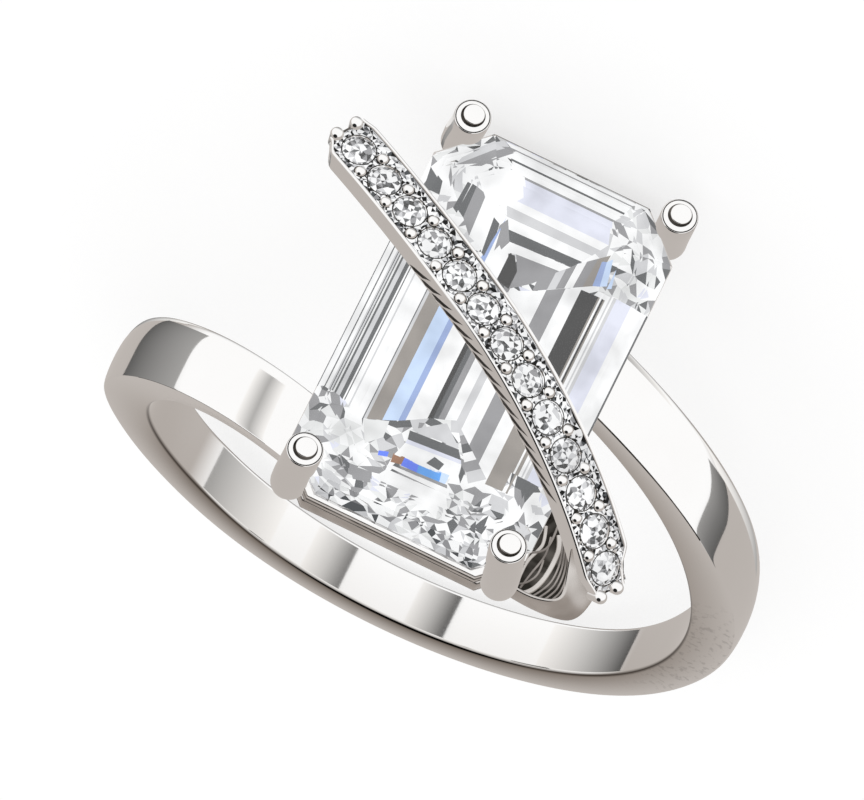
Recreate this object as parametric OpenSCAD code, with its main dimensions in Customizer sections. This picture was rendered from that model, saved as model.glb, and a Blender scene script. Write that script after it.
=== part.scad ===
// Ladies' ring in white gold: a plain polished band, one large emerald-cut stone held by
// four round prongs, and an arched bar of thirteen small brilliants that crosses over it.
// The ring lies on its back side, as it rests by itself. Every module is drawn in the
// ring's own frame: X to the right, Y to the back along the finger, Z from the finger's
// centre up to the stone. lay_down() then turns the ring onto the surface at Z = 0.

/* [Band] */
// Inside diameter for the finger, US size 6.5
finger_d = 17; // [16:0.1:18]
// Width of the band along the finger at its bottom
band_w = 1.7; // [1.6:0.05:1.9]
// Width of the left shoulder where it meets the head
left_shoulder_w = 2.2; // [2.1:0.05:2.3]
// Width of the right shoulder where it meets the head
right_shoulder_w = 2.35; // [2.2:0.05:2.5]
// Thickness of the band at its bottom
band_t = 1.38; // [1.3:0.02:1.5]
// Thickness of the band at its sides, where it is thickest
side_t = 1.6; // [1.5:0.05:1.7]
// Thickness of the shoulders where they meet the head
shoulder_t = 0.85; // [0.75:0.05:1]
// Height of the domed outside at the bottom of the band
band_dome = 0.45; // [0.35:0.05:0.5]
// How far the left shoulder swings to the front at its end
left_swing = 3.75; // [3:0.05:3.9]
// How far the right shoulder swings to the back at its end
right_swing = 1.87; // [1.5:0.01:2]
// Angle from the bottom where the swing starts
swing_start = 41.5; // [38:0.5:45]
// Angle from the bottom where the shoulders end
shoulder_end = 158; // [156:1:159]

/* [Centre stone] */
// Length of the stone over its girdle
stone_l = 12.7; // [12.65:0.05:12.75]
// Width of the stone over its girdle
stone_w = 7.65; // [7.6:0.05:7.7]
// Leg of each cut corner
corner_cut = 1.34; // [1.3:0.02:1.4]
// Height of the girdle's middle above the finger's centre
girdle_z = 11.4; // [11.4:0.05:11.5]
// Thickness of the girdle
girdle_t = 0.25; // [0.2:0.05:0.25]
// Height of the crown above the girdle
crown_h = 0.75; // [0.7:0.05:0.8]
// Depth of the pavilion below the girdle
pavilion_h = 2.35; // [2.2:0.05:2.35]

/* [Head] */
// Diameter of the prong wire
prong_d = 1.1; // [1.05:0.05:1.15]
// Spacing of the prongs along the finger
prong_span_l = 11.86; // [11.8:0.02:11.9]
// Spacing of the prongs across the finger
prong_span_w = 6.7; // [6.66:0.02:6.74]
// Height of the prong tips above the girdle
prong_rise = 1.5; // [1.3:0.05:1.5]
// Height where the prongs start
prong_base_z = 9.9; // [9.8:0.05:9.95]
// Height where the lower rail starts
rail_base_z = 9.6; // [9.5:0.05:9.7]
// Depth of each gallery rail
rail_h = 0.6; // [0.5:0.05:0.6]
// Thickness of each gallery rail
rail_t = 0.45; // [0.4:0.05:0.5]

/* [Stone bar] */
// Number of small stones along the bar
bar_stones = 13; // [13:1:13]
// Diameter of each small stone
small_stone_d = 1.08; // [1.04:0.02:1.1]
// Distance between small stones along the arch
bar_pitch = 1.213; // [1.205:0.001:1.22]
// Angle of the bar across the stone, seen from above
bar_angle = -30; // [-30.5:0.25:-29.5]
// How far the bar lies in front of the stone's centre
bar_side = -0.19; // [-0.25:0.01:-0.15]
// How far the arch leans over to the front
bar_lean = 10; // [8:1:11]
// Height of the arch's top above the finger's centre
bar_top_z = 14.06; // [14.02:0.02:14.12]
// Radius of the flat part of the arch, to the upper left
flat_r = 34; // [30:1:40]
// Radius of the curling part of the arch, to the lower right
curl_r = 12; // [11.8:0.1:12.2]
// Width of the bar
bar_w = 1.68; // [1.6:0.02:1.7]
// Thickness of the bar
bar_t = 0.72; // [0.7:0.02:0.76]
// Diameter of the beads that hold the small stones
bead_d = 0.32; // [0.3:0.01:0.33]
// Diameter of the claws at the bar's two ends
claw_d = 0.4; // [0.36:0.02:0.4]

/* [Hidden] */
metal = "silver";
clear_stone = "aliceblue";
finger_r = finger_d / 2;
half_l = stone_l / 2;
half_w = stone_w / 2;
prong_r = prong_d / 2;
prong_x = prong_span_w / 2;
prong_y = prong_span_l / 2;
prong_top = girdle_z + prong_rise;
upper_rail_z = rail_base_z + rail_h + 0.15;
seat_gap = 0.04;
back_trim = 0.2;
band_x = 0.12;
band_y = -0.08;
leg_d = 0.7;
rib_d = 0.26;

// Shape of the band

band_steps = 48;
function side_of(a) = a < 0 ? -1 : 1;
function past(a, start) = max(0, abs(a) - start);
function swing(a) =
    let(share = past(a, swing_start) / (shoulder_end - swing_start))
    (a < 0 ? -left_swing : right_swing) * share * share;
function thin_share(a) = let(share = past(a, 90) / (shoulder_end - 90)) share * share * (3 - 2 * share);
function thickness(a) =
    let(rise = abs(a) < 90 ? sin(a) * sin(a) : 1, side = a > 0 ? side_t - 0.08 : side_t)
    band_t + (side - band_t) * rise + (shoulder_t - side) * thin_share(a);
function eased(share) = let(s = min(1, share)) s * s * (3 - 2 * s);
function flare(a) = eased(past(a, 50) / 65);
function width(a) = band_w + ((a < 0 ? left_shoulder_w : right_shoulder_w) - band_w) * flare(a);
function middle_y(a) = swing(a) + band_y + 0.15 * flare(a);
function front_drop(a) = 0.03 + band_dome * (1 - eased(past(a, 65) / 40));
function back_drop(a) =
    let(flat = a > 0 ? 0.3 : 0.45)
    0.03 + band_dome * (1 - flat * eased(past(a, 65) / 40) - 0.4 * thin_share(a));

// One cross-section of the band at an angle from the bottom: each row is how far across
// the width a point lies, from -1 to 1, and its distance from the finger's centre.
function section_rows(a) =
    let(outer = finger_r + thickness(a), front = front_drop(a), back = back_drop(a))
    [[-1, finger_r - 0.3], [-1, outer - front], [-0.88, outer - 0.5 * front],
        [-0.5, outer - 0.13 * front], [0, outer], [0.5, outer - 0.13 * back],
        [0.88, outer - 0.5 * back], [1, outer - back], [1, finger_r - 0.3]];
function section_points(a) = [for (row = section_rows(a))
    [row[1] * sin(a), middle_y(a) + row[0] * width(a) / 2, -row[1] * cos(a)]];
function station(i) = -shoulder_end + 2 * shoulder_end * i / band_steps;
// The point just past a shoulder's end that closes the band there
function end_point(a) =
    let(middle = finger_r + thickness(a) / 2, reach = side_of(a) * 0.1)
    [middle * sin(a) + reach * cos(a), middle_y(a), -middle * cos(a) + reach * sin(a)];

module band() {
    count = len(section_rows(0));
    last = band_steps * count;
    first_end = (band_steps + 1) * count;
    points = concat([for (i = [0:band_steps]) each section_points(station(i))],
        [end_point(-shoulder_end), end_point(shoulder_end)]);
    skin = [for (i = [0:band_steps - 1], k = [0:count - 1])
        let(a = i * count + k, b = i * count + (k + 1) % count)
        each [[a, a + count, b + count], [a, b + count, b]]];
    first_cap = [for (k = [0:count - 1]) [first_end, k, (k + 1) % count]];
    last_cap = [for (k = [0:count - 1]) [first_end + 1, last + (k + 1) % count, last + k]];
    translate([band_x, 0, 0])
        difference() {
            polyhedron(points, concat(skin, first_cap, last_cap));
            rotate([90, 0, 0]) cylinder(r = finger_r, h = 16, center = true, $fn = 96);
        }
}

// A round wire between two points, with a ball joint at the second one
module wire(p, q, d) {
    reach = q - p;
    translate(p)
        rotate([0, acos(reach[2] / norm(reach)), atan2(reach[1], reach[0])])
            cylinder(d = d, h = norm(reach), $fn = 32);
    translate(q) sphere(d = 1.08 * d, $fn = 32);
}

// Outline of the centre stone, drawn smaller by an inset
function outline(inset, cut) =
    let(a = half_w - inset, b = half_l - inset, c = b - back_trim)
    [[a, -b + cut], [a, c - cut], [a - cut, c], [-a + cut, c],
        [-a, c - cut], [-a, -b + cut], [-a + cut, -b], [a - cut, -b]];
function cut_at(inset) = corner_cut * (1 - 0.62 * inset / half_w);

// Each level of the centre stone from the table down: its inset from the girdle's outline,
// and its height above the finger's centre.
girdle_top = girdle_z + girdle_t / 2;
girdle_low = girdle_z - girdle_t / 2;
stone_levels = [
    [1.4, girdle_top + crown_h],
    [0.9, girdle_top + 0.8 * crown_h],
    [0.42, girdle_top + 0.48 * crown_h],
    [0, girdle_top],
    [0, girdle_low],
    [1, girdle_low - 0.42 * pavilion_h],
    [2.3, girdle_low - 0.78 * pavilion_h],
    [half_w - 0.04, girdle_low - pavilion_h]];

module centre_stone() {
    levels = len(stone_levels);
    points = [for (level = stone_levels)
        let(cut = min(cut_at(level[0]), half_w - level[0] - 0.01))
        each [for (p = outline(level[0], cut)) [p[0], p[1], level[1]]]];
    sides = [for (i = [0:levels - 2], k = [0:7])
        [i * 8 + k, i * 8 + (k + 1) % 8, i * 8 + 8 + (k + 1) % 8, i * 8 + 8 + k]];
    table = [[for (k = [7:-1:0]) k]];
    keel = [[for (k = [0:7]) (levels - 1) * 8 + k]];
    color(clear_stone) polyhedron(points, concat(sides, table, keel));
}

// A rail that follows the stone's outline and passes into the four prongs
module rail(z, depth, outer_inset, wall, cut) {
    translate([0, 0, z])
        linear_extrude(depth)
            difference() {
                polygon(outline(outer_inset, cut));
                polygon(outline(outer_inset + wall, cut));
            }
}

module prong(x, y) {
    translate([x, y, prong_base_z + prong_r])
        cylinder(r = prong_r, h = prong_top - prong_base_z - 1.6 * prong_r, $fn = 48);
    translate([x, y, prong_base_z + prong_r]) sphere(r = prong_r, $fn = 48);
    translate([x, y, prong_top - 0.6 * prong_r])
        cylinder(r1 = prong_r, r2 = 0.62 * prong_r, h = 0.6 * prong_r, $fn = 48);
}

// Room for the stone's girdle, cut into the prongs
module stone_seat() {
    translate([0, 0, girdle_low - 0.3])
        linear_extrude(girdle_t + 0.5) polygon(outline(-seat_gap, corner_cut));
}

// Posts that carry the gallery on the ends of the two shoulders
module shoulder_post(a) {
    post_top = rail_base_z + 0.3;
    post_h = post_top - 8.1;
    translate([side_of(a) * (half_w - 0.62), swing(a), post_top - post_h / 2])
        cube([0.8, band_w - 0.35, post_h], center = true);
}

module head() {
    for (x = [-prong_x, prong_x], y = [-prong_y, prong_y]) prong(x, y);
    rail(rail_base_z, rail_h, 0.15, rail_t, 0.9);
    rail(upper_rail_z, rail_h - 0.2, 0.05, rail_t, 1.1);
    rail(upper_rail_z + rail_h - 0.25, 0.25, 0.05, rail_t - 0.21, 1.1);
    shoulder_post(-shoulder_end);
    shoulder_post(shoulder_end);
}

// Shape of the bar: the arch is flat to the upper left of its top and curls down to the
// lower right. A place on it is measured in millimetres along the arch from that top.
bar_apex = -0.91;
bar_centre = 1.74;
first_stone = bar_centre - (bar_stones - 1) / 2 * bar_pitch;
bar_start = first_stone - 0.66 * bar_pitch;
bar_finish = first_stone + (bar_stones - 1 + 0.62) * bar_pitch;
bar_steps = 36;
bar_left = -0.75;
function arch_r(t) = t < 0 ? flat_r : curl_r;
function arch_a(t) = t / arch_r(t) * 180 / PI;

module at_arch_top() {
    rotate([0, 0, bar_angle])
        translate([bar_apex, bar_side, bar_top_z])
            rotate([-bar_lean, 0, 0]) children();
}

module on_bar(t, side = 0) {
    at_arch_top()
        translate([arch_r(t) * sin(arch_a(t)), side, arch_r(t) * (cos(arch_a(t)) - 1)])
            rotate([0, arch_a(t), 0]) children();
}

// A point of the bar's side view: a place along the arch, at a depth under its top
function arch_point(t, depth) =
    [(arch_r(t) - depth) * sin(arch_a(t)), (arch_r(t) - depth) * cos(arch_a(t)) - arch_r(t)];

module bar_body() {
    places = [for (i = [0:bar_steps]) bar_start + (bar_finish - bar_start) * i / bar_steps];
    top = [for (t = places) arch_point(t, 0.1)];
    underside = [for (i = [bar_steps:-1:0]) arch_point(places[i], bar_t)];
    at_arch_top()
        rotate([90, 0, 0])
            translate([0, 0, -bar_left - bar_w])
                linear_extrude(bar_w) polygon(concat(top, underside));
}

// The drilled seat of one small stone
module small_seat() {
    seat_r = small_stone_d / 2 + seat_gap;
    translate([0, 0, -0.2]) cylinder(r = seat_r, h = 0.6, $fn = 32);
    translate([0, 0, -0.62]) cylinder(r1 = 0.14, r2 = seat_r, h = 0.42, $fn = 32);
}

module bead(t, side) {
    on_bar(t, side) translate([0, 0, -0.06]) sphere(d = bead_d, $fn = 24);
}

module claw(t, side) {
    on_bar(t, side) {
        translate([0, 0, -0.35]) cylinder(d = claw_d - 0.06, h = 0.35, $fn = 24);
        translate([0, 0, 0.02]) sphere(d = claw_d, $fn = 24);
    }
}

module stone_bar() {
    difference() {
        bar_body();
        on_bar(bar_start) translate([0, 0, -0.3]) rotate([0, 37, 0])
            translate([-0.5, -1.5, -1]) cube([2, 3, 1]);
        on_bar(bar_finish, bar_left + bar_w - 0.28) translate([-0.95, 0, -1]) cube([1.2, 1, 1.2]);
        for (i = [0:bar_stones - 1]) on_bar(first_stone + i * bar_pitch) small_seat();
    }
    for (i = [0:bar_stones - 2], side = [-0.43, 0.43])
        bead(first_stone + (i + 0.5) * bar_pitch, side);
    for (side = [-0.22, 0.5]) claw(bar_start + 0.03, side);
    for (side = [-0.42, 0.2]) claw(bar_finish - 0.01, side);
}

// Hidden leg that carries the bar's upper left end on the gallery
module bar_leg() {
    elbow = [-5.25, 4, 10];
    wire([-5.13, 2.72, 13.08], elbow, leg_d);
    wire([-half_w + 0.4, 4, 9.95], elbow, leg_d - 0.1);
}

// Foot that curls from the bar's lower right end to the base of the front right prong
module bar_foot() {
    foot_r = 0.8;
    foot_t = 0.45;
    foot_h = 0.8;
    foot_x = 5.8;
    foot_y = 0.2 - prong_y;
    bend = [foot_x - foot_r, foot_y + foot_r, rail_base_z];
    translate(bend) rotate([0, 0, -90])
        rotate_extrude(angle = 90, $fn = 96)
            translate([foot_r - foot_t / 2, 0]) square([foot_t, foot_h]);
    translate([prong_x, foot_y - foot_t / 2, bend[2]])
        cube([bend[0] - prong_x, foot_t, foot_h]);
    translate([foot_x - foot_t / 2, bend[1], bend[2]]) cube([foot_t, 0.85, 0.55]);
}

// Curved wires inside the foot, from the prong's base up to the bar
module foot_ribs() {
    for (step = [0, 1])
        translate([prong_x + 0.35, -prong_y + 1.75 - 0.1 * step, rail_base_z + 0.25 + 0.4 * step])
            rotate([0, 0, -90])
                rotate_extrude(angle = 100, $fn = 96)
                    translate([1.7 - 0.15 * step, 0]) circle(d = rib_d, $fn = 24);
}

module ring_mount() {
    color(metal) {
        band();
        difference() {
            head();
            stone_seat();
        }
        stone_bar();
        bar_leg();
        bar_foot();
        foot_ribs();
    }
}

// A round brilliant with its girdle at Z = 0: table, eight star facets, eight kites,
// sixteen upper and sixteen lower girdle facets, and eight pavilion mains
function circle_points(n, r, z, turn) =
    [for (k = [0:n - 1]) [r * cos(turn + k * 360 / n), r * sin(turn + k * 360 / n), z]];

module brilliant(d) {
    r = d / 2;
    girdle = 0.02 * d;
    points = concat(
        circle_points(8, 0.56 * r, 0.3 * r, 22.5),
        circle_points(8, 0.76 * r, 0.2 * r, 0),
        circle_points(16, r, girdle, 0),
        circle_points(16, r, -girdle, 0),
        circle_points(8, 0.26 * r, -0.66 * r, 0),
        [[0, 0, -0.86 * r]]);
    kite_top = 8;
    girdle_up = 16;
    girdle_down = 32;
    main_side = 48;
    culet = 56;
    around = [0:7];
    faces = concat(
        [[for (k = [7:-1:0]) k]],
        [for (k = around) [k, (k + 1) % 8, kite_top + (k + 1) % 8]],
        [for (k = around) [k, kite_top + (k + 1) % 8, girdle_up + 2 * k + 1, kite_top + k]],
        [for (k = around) [kite_top + k, girdle_up + 2 * k + 1, girdle_up + 2 * k]],
        [for (k = around) [kite_top + k, girdle_up + 2 * k, girdle_up + (2 * k + 15) % 16]],
        [for (k = [0:15]) [girdle_up + k, girdle_up + (k + 1) % 16,
            girdle_down + (k + 1) % 16, girdle_down + k]],
        [for (k = around) [girdle_down + 2 * k, girdle_down + 2 * k + 1, main_side + k]],
        [for (k = around) [girdle_down + (2 * k + 15) % 16, girdle_down + 2 * k, main_side + k]],
        [for (k = around) [girdle_down + 2 * k + 1, main_side + (k + 1) % 8, culet, main_side + k]]);
    polyhedron(points, faces);
}

module pave_stone(i) {
    color(clear_stone)
        on_bar(first_stone + i * bar_pitch)
            translate([0, 0, -0.13]) brilliant(small_stone_d);
}

// The ring rests on the band's back edge and the two back prongs
edge_r = finger_r + band_t - back_drop(0);
edge_y = band_y + band_w / 2;
rest_rise = [prong_y - edge_y, prong_base_z + prong_r + edge_r];
rest_tilt = atan2(rest_rise[0], rest_rise[1]) + asin(prong_r / norm(rest_rise));
rest_height = edge_y * cos(rest_tilt) + edge_r * sin(rest_tilt);

// Puts the origin under the middle of the resting ring
rest_middle = [0.08, 2.282];

module lay_down() {
    translate([rest_middle[0], rest_middle[1], rest_height])
        rotate([rest_tilt - 90, 0, 180]) children();
}

lay_down() ring_mount();
lay_down() centre_stone();
for (i = [0:bar_stones - 1])
    lay_down() pave_stone(i);
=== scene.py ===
# Looks of a ladies' ring in white gold with one large emerald-cut stone and a bar of small ones
import math

import bmesh
import bpy
import numpy as np
from mathutils import Matrix, Vector, geometry


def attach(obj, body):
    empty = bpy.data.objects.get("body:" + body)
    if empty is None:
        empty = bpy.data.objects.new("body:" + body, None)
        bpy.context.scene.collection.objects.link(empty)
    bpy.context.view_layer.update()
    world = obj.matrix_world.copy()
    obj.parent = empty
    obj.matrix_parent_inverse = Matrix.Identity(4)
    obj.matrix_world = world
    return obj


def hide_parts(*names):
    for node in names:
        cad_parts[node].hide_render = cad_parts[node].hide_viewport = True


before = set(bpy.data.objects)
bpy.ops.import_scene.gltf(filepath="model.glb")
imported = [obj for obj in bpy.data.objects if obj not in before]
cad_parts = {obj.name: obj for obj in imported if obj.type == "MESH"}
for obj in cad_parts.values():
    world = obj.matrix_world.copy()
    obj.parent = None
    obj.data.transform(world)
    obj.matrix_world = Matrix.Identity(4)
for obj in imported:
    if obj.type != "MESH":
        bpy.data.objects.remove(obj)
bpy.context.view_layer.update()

# Camera: a long lens at the photograph's angle, in front of the ring and above it.
# Its axes and its aim are in the part's own frame, in metres.
scene = bpy.context.scene
camera_right = Vector((-0.90021, -0.247, -0.35863))
camera_up = Vector((0.43427, -0.57007, -0.69744))
camera_back = Vector((-0.03218, -0.78359, 0.62046))
camera_distance = 0.6
seen_width = 0.025337
camera_aim = camera_right * -0.0017618 + camera_up * -0.0010336
camera_place = camera_aim + camera_back * camera_distance
camera_data = bpy.data.cameras.new("camera")
camera_data.sensor_width = 36
camera_data.lens = camera_data.sensor_width * camera_distance / seen_width
camera_data.clip_start = 0.01
camera_data.clip_end = 20
camera = bpy.data.objects.new("camera", camera_data)
camera.matrix_world = Matrix((
    tuple(camera_right) + (0,),
    tuple(camera_up) + (0,),
    tuple(camera_back) + (0,),
    tuple(camera_place) + (1,))).transposed()
scene.collection.objects.link(camera)
scene.camera = camera

# Band: a bar of white gold bent round a finger hole of 17 mm, domed outside and plain inside.
# Its ends thin out into shoulders, the left one swung to the front and the right one to the back.
# It is polished all over, with faint pits low on its right side, and painted shade along its front inner edge
# and in its creases.

# The ring's own frame has X to the right, Y to the back along the finger and Z up to the stone.
# Pieces are built in it in millimetres, and this turns them onto the floor as the part lies.
mm = 0.001
lean = math.radians(16.1082)
laid = Matrix((
    (-mm, 0, 0, 0.08 * mm),
    (0, -mm * math.sin(lean), -mm * math.cos(lean), 2.282 * mm),
    (0, -mm * math.cos(lean), mm * math.sin(lean), 3.34782 * mm),
    (0, 0, 0, 1)))


def put(name, data, stands_for=None):
    """Adds a piece that rides on the ring, with its finish and the solid whose place it takes."""
    piece = bpy.data.objects.new(name, data)
    scene.collection.objects.link(piece)
    piece.visible_glossy = False
    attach(piece, "root")
    if stands_for:
        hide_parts(stands_for)
    return piece


def lay(name, points, faces, material, sharp=35):
    """A piece of the mount from points in the ring's own frame, smooth up to an edge of sharp degrees."""
    mesh = bpy.data.meshes.new(name)
    mesh.from_pydata([tuple(float(v) for v in p) for p in points], [], faces)
    work = bmesh.new()
    work.from_mesh(mesh)
    bmesh.ops.recalc_face_normals(work, faces=work.faces)
    work.to_mesh(mesh)
    work.free()
    mesh.transform(laid)
    mesh.polygons.foreach_set("use_smooth", [True] * len(mesh.polygons))
    mesh.set_sharp_from_angle(angle=math.radians(sharp))
    mesh.materials.append(material)
    return put(name, mesh, "ring_mount")


def loft(rings, size, start=0, closed=False, caps=()):
    """Faces that join rings of points, each closed on itself, and flat caps over some of them."""
    faces = []
    for i in range(rings if closed else rings - 1):
        here = start + i * size
        after = start + (i + 1) % rings * size
        for k in range(size):
            n = (k + 1) % size
            faces.append((here + k, here + n, after + n, after + k))
    for ring in caps:
        faces.append(tuple(range(start + ring * size, start + (ring + 1) * size)))
    return faces


def fill(tree, filled, sockets):
    """Fills a node's sockets, each with a value or from another node's output."""
    for socket, value in sockets.items():
        if isinstance(value, bpy.types.NodeSocket):
            tree.links.new(value, filled.inputs[socket])
        else:
            filled.inputs[socket].default_value = value


def node(tree, kind, sockets, **settings):
    """The outputs of a new node, which is set up and has its sockets filled."""
    made = tree.nodes.new(kind)
    for setting, value in settings.items():
        setattr(made, setting, value)
    fill(tree, made, sockets)
    return made.outputs


def ramp(tree, share, stops):
    """The outputs of a colour ramp through stops of a place and a colour each."""
    made = tree.nodes.new("ShaderNodeValToRGB")
    made.name = "ramp"
    fill(tree, made, {"Fac": share})
    elements = made.color_ramp.elements
    while len(elements) < len(stops):
        elements.new(0.5)
    for element, (place, _) in zip(elements, stops):
        element.position = place
    for element, (_, colour) in zip(elements, stops):
        element.color = tuple(colour) + (1,)
    return made.outputs


def shade(material, sockets):
    """Fills the sockets of a material's own shader."""
    fill(material.node_tree, material.node_tree.nodes["Principled BSDF"], sockets)


def clouded(name, scale, stops, finish, detail=2, distortion=0):
    """A material whose colour drifts through stops of a place and a colour, in soft clouds."""
    material = bpy.data.materials.new(name)
    material.use_nodes = True
    tree = material.node_tree
    place = node(tree, "ShaderNodeTexCoord", {}, name="place")
    cloud = node(tree, "ShaderNodeTexNoise", {
        "Vector": place["Object"], "Scale": scale, "Detail": detail, "Distortion": distortion}, name="cloud")
    shade(material, {"Base Color": ramp(tree, cloud["Fac"], stops)["Color"]} | finish)
    return material


def polished(name):
    """White gold from the polishing wheel, with a faint haze and a slight drift of colour."""
    metal = clouded(name, 600, ((0, (0.84, 0.83, 0.82)), (1, (0.87, 0.865, 0.86))), {"Metallic": 1}, detail=4)
    tree = metal.node_tree
    haze = node(tree, "ShaderNodeMapRange", {"Value": tree.nodes["cloud"].outputs["Fac"],
                                             "To Min": 0.035, "To Max": 0.075})
    shade(metal, {"Roughness": haze["Result"]})
    return metal


# The band's gold takes its painted shade and its wear from values that are kept at its points
band_gold = polished("shaded_band_gold")
band_tree = band_gold.node_tree
band_shade = node(band_tree, "ShaderNodeAttribute", {}, attribute_name="shade")
band_blend = node(band_tree, "ShaderNodeVectorMath", {
    0: band_tree.nodes["ramp"].outputs["Color"], 1: band_shade["Color"]}, operation="MULTIPLY")
band_wear = node(band_tree, "ShaderNodeAttribute", {}, attribute_name="wear")
band_pits = node(band_tree, "ShaderNodeTexNoise", {
    "Vector": band_tree.nodes["place"].outputs["Object"], "Scale": 4600, "Detail": 3})
band_loss = node(band_tree, "ShaderNodeMapRange", {
    "Value": band_pits["Fac"], "From Min": 0.36, "From Max": 0.46, "To Min": -0.2, "To Max": 0})
band_worn = node(band_tree, "ShaderNodeMath", {
    0: band_loss["Result"], 1: band_wear["Fac"], 2: 1}, operation="MULTIPLY_ADD")
band_dulled = node(band_tree, "ShaderNodeVectorMath", {
    0: band_blend["Vector"], "Scale": band_worn["Value"]}, operation="SCALE")
shade(band_gold, {"Base Color": band_dulled["Vector"]})

# The same gold painted dark, as painted shade where hardly any light gets in
painted_shade_gold = clouded("shaded_white_gold", 700, ((0.45, (0.02, 0.018, 0.015)), (0.7, (0.11, 0.1, 0.09))),
                    {"Metallic": 1, "Roughness": 0.12}, distortion=1.5)
painted_shade_tree = painted_shade_gold.node_tree
painted_shade_bump = node(painted_shade_tree, "ShaderNodeBump", {"Height": painted_shade_tree.nodes["cloud"].outputs["Fac"],
                                               "Strength": 0.5, "Distance": 0.0002})
shade(painted_shade_gold, {"Normal": painted_shade_bump["Normal"]})

finger_r = 8.5
finger_x = 0.12
shoulder_start = 41.5
shoulder_end = 158.0
left_swing = -3.75
right_swing = 1.87
bottom_thick = 1.38
right_thick = 1.52
left_thick = 1.6
end_thick = 0.85
bottom_width = 1.7
left_width = 2.2
right_width = 2.35
inner_ease = 0.1
inner_flat = 0.03
dome_least = 0.03
dome_more = 0.45
dome_steps = 24
wall_gap = 0.06
band_forward = 0.08
band_stations = 159


def eased(share):
    """A share from 0 to 1 with a soft start and a soft finish."""
    share = min(1.0, share)
    return share * share * (3 - 2 * share)


def past(a, start):
    """How far an angle lies past a start, on either side."""
    return max(0.0, abs(a) - start)


def swing(a):
    """How far the band has swung along the finger, at an angle from its bottom."""
    share = past(a, shoulder_start) / (shoulder_end - shoulder_start)
    return (left_swing if a < 0 else right_swing) * share * share


def band_section(a):
    """Points of the band's cross-section, at an angle from its bottom."""
    thin = eased(past(a, 90) / (shoulder_end - 90))
    side_thick = right_thick if a > 0 else left_thick
    rise = math.sin(math.radians(a)) ** 2 if abs(a) < 90 else 1
    thick = bottom_thick + (side_thick - bottom_thick) * rise + (end_thick - side_thick) * thin
    flare = eased(past(a, 50) / 65)
    half = (bottom_width + ((left_width if a < 0 else right_width) - bottom_width) * flare) / 2
    middle_y = swing(a) - band_forward + 0.15 * flare
    flatter = eased(past(a, 65) / 40)
    front_drop = dome_least + dome_more * (1 - flatter)
    back_drop = dome_least + dome_more * (1 - (0.3 if a > 0 else 0.45) * flatter - 0.4 * thin)
    outer = finger_r + thick
    edge = [(half - inner_ease - inner_flat, finger_r), (half - inner_ease, finger_r),
            (half - inner_flat, finger_r + inner_flat), (half, finger_r + inner_ease)]
    rows = [(-y, r) for y, r in edge] + [(-half, outer - front_drop - wall_gap)]
    for step in range(dome_steps + 1):
        turn = math.radians(-90 + 180 * step / dome_steps)
        drop = (front_drop if turn < 0 else back_drop) * (1 - math.cos(turn))
        rows.append((half * math.sin(turn), outer - drop))
    rows += [(half, outer - back_drop - wall_gap)] + edge[::-1]
    turn = math.radians(a)
    return [(finger_x + r * math.sin(turn), middle_y + y, -r * math.cos(turn)) for y, r in rows]


def band_angle(station):
    """The angle from the band's bottom at one of its stations, from the left end to the right one."""
    return -shoulder_end + 2 * shoulder_end * station / (band_stations - 1)


band_points = []
for station in range(band_stations):
    band_points += band_section(band_angle(station))
band_rows = len(band_points) // band_stations
band_faces = loft(band_stations, band_rows, caps=(0, band_stations - 1))
band = lay("band", band_points, band_faces, band_gold, 88)
band.data.materials.append(painted_shade_gold)

# Painted shade: dark lines where the front wall meets the dome, near both ends
right_end_stations = range(142, band_stations)
left_end_stations = range(4, 22)
for face in band.data.polygons:
    station, row = divmod(face.index, band_rows)
    if station in right_end_stations and row in (5, 6) or station in left_end_stations and row == 5:
        face.material_index = 1

# Painted shade: brown along the front inner edge, deepest at the bottom, with a dark line in the crease and
# darker inside towards the left end; and the wear low on the right side
crease_row = 2
row_shades = {0: 0.92, 1: 0.75, crease_row: 0.06, 3: 0.36, 4: 0.97}
inside_rows = (0, 1, band_rows - 2, band_rows - 1)
worn_rows = (3, 4, 5, 6)
band.data.color_attributes.new("shade", "FLOAT_COLOR", "POINT")
band.data.attributes.new("wear", "FLOAT", "POINT")
shades = band.data.color_attributes["shade"].data
wears = band.data.attributes["wear"].data
for number in range(len(band_points)):
    station, row = divmod(number, band_rows)
    a = band_angle(station)
    strength = float(np.interp(a, (-115, -80, -50, 20, 60, 100), (0.3, 0.5, 0.95, 1, 0.7, 0.5)))
    tone = 1 - (1 if row == crease_row else strength) * (1 - row_shades.get(row, 1))
    if row in inside_rows:
        tone *= float(np.interp(a, (-102, -85, -58), (0.66, 0.84, 1)))
    shades[number].color = (tone, tone ** 1.1, tone ** 1.2, 1)
    wears[number].value = float(np.interp(a, (54, 72, 98, 108), (0, 1, 1, 0))) if row in worn_rows else 0.0

# Prongs: four round wires of polished white gold, soldered upright to the rails at the corners.
# Each has a seat cut for the girdle and leans in over it, and its tip ends in a flat polished disc. A dark
# band of painted shade lies in the crease at the tip, and a flat dark crescent of painted shade round the
# disc stands for a groove.
gold = polished("polished_white_gold")
girdle_z = 11.4
prong_r = 0.55
prong_foot = 10.45
prong_steps = 64
lean_start = 10.6
lean_height = 2.2
tip_crease_r = 0.514
prong_profile = [(prong_r * math.sin(math.radians(t)), prong_foot - prong_r * math.cos(math.radians(t)))
                 for t in range(0, 91, 9)]
prong_profile += [(prong_r, z) for z in (11.0, 11.4, 11.8, 12.2, 12.69)]
prong_profile += [(0.545, 12.74), (0.53, 12.775), (tip_crease_r, 12.788), (0.48, 12.796), (0.46, 12.81),
                  (0.36, 12.83), (0.2, 12.84), (0, 12.845)]
disc_profile = ((0.31, 12.8), (0.31, 12.85), (0.3, 12.868), (0.28, 12.878), (0.1, 12.888))
disc_steps = 48
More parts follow.
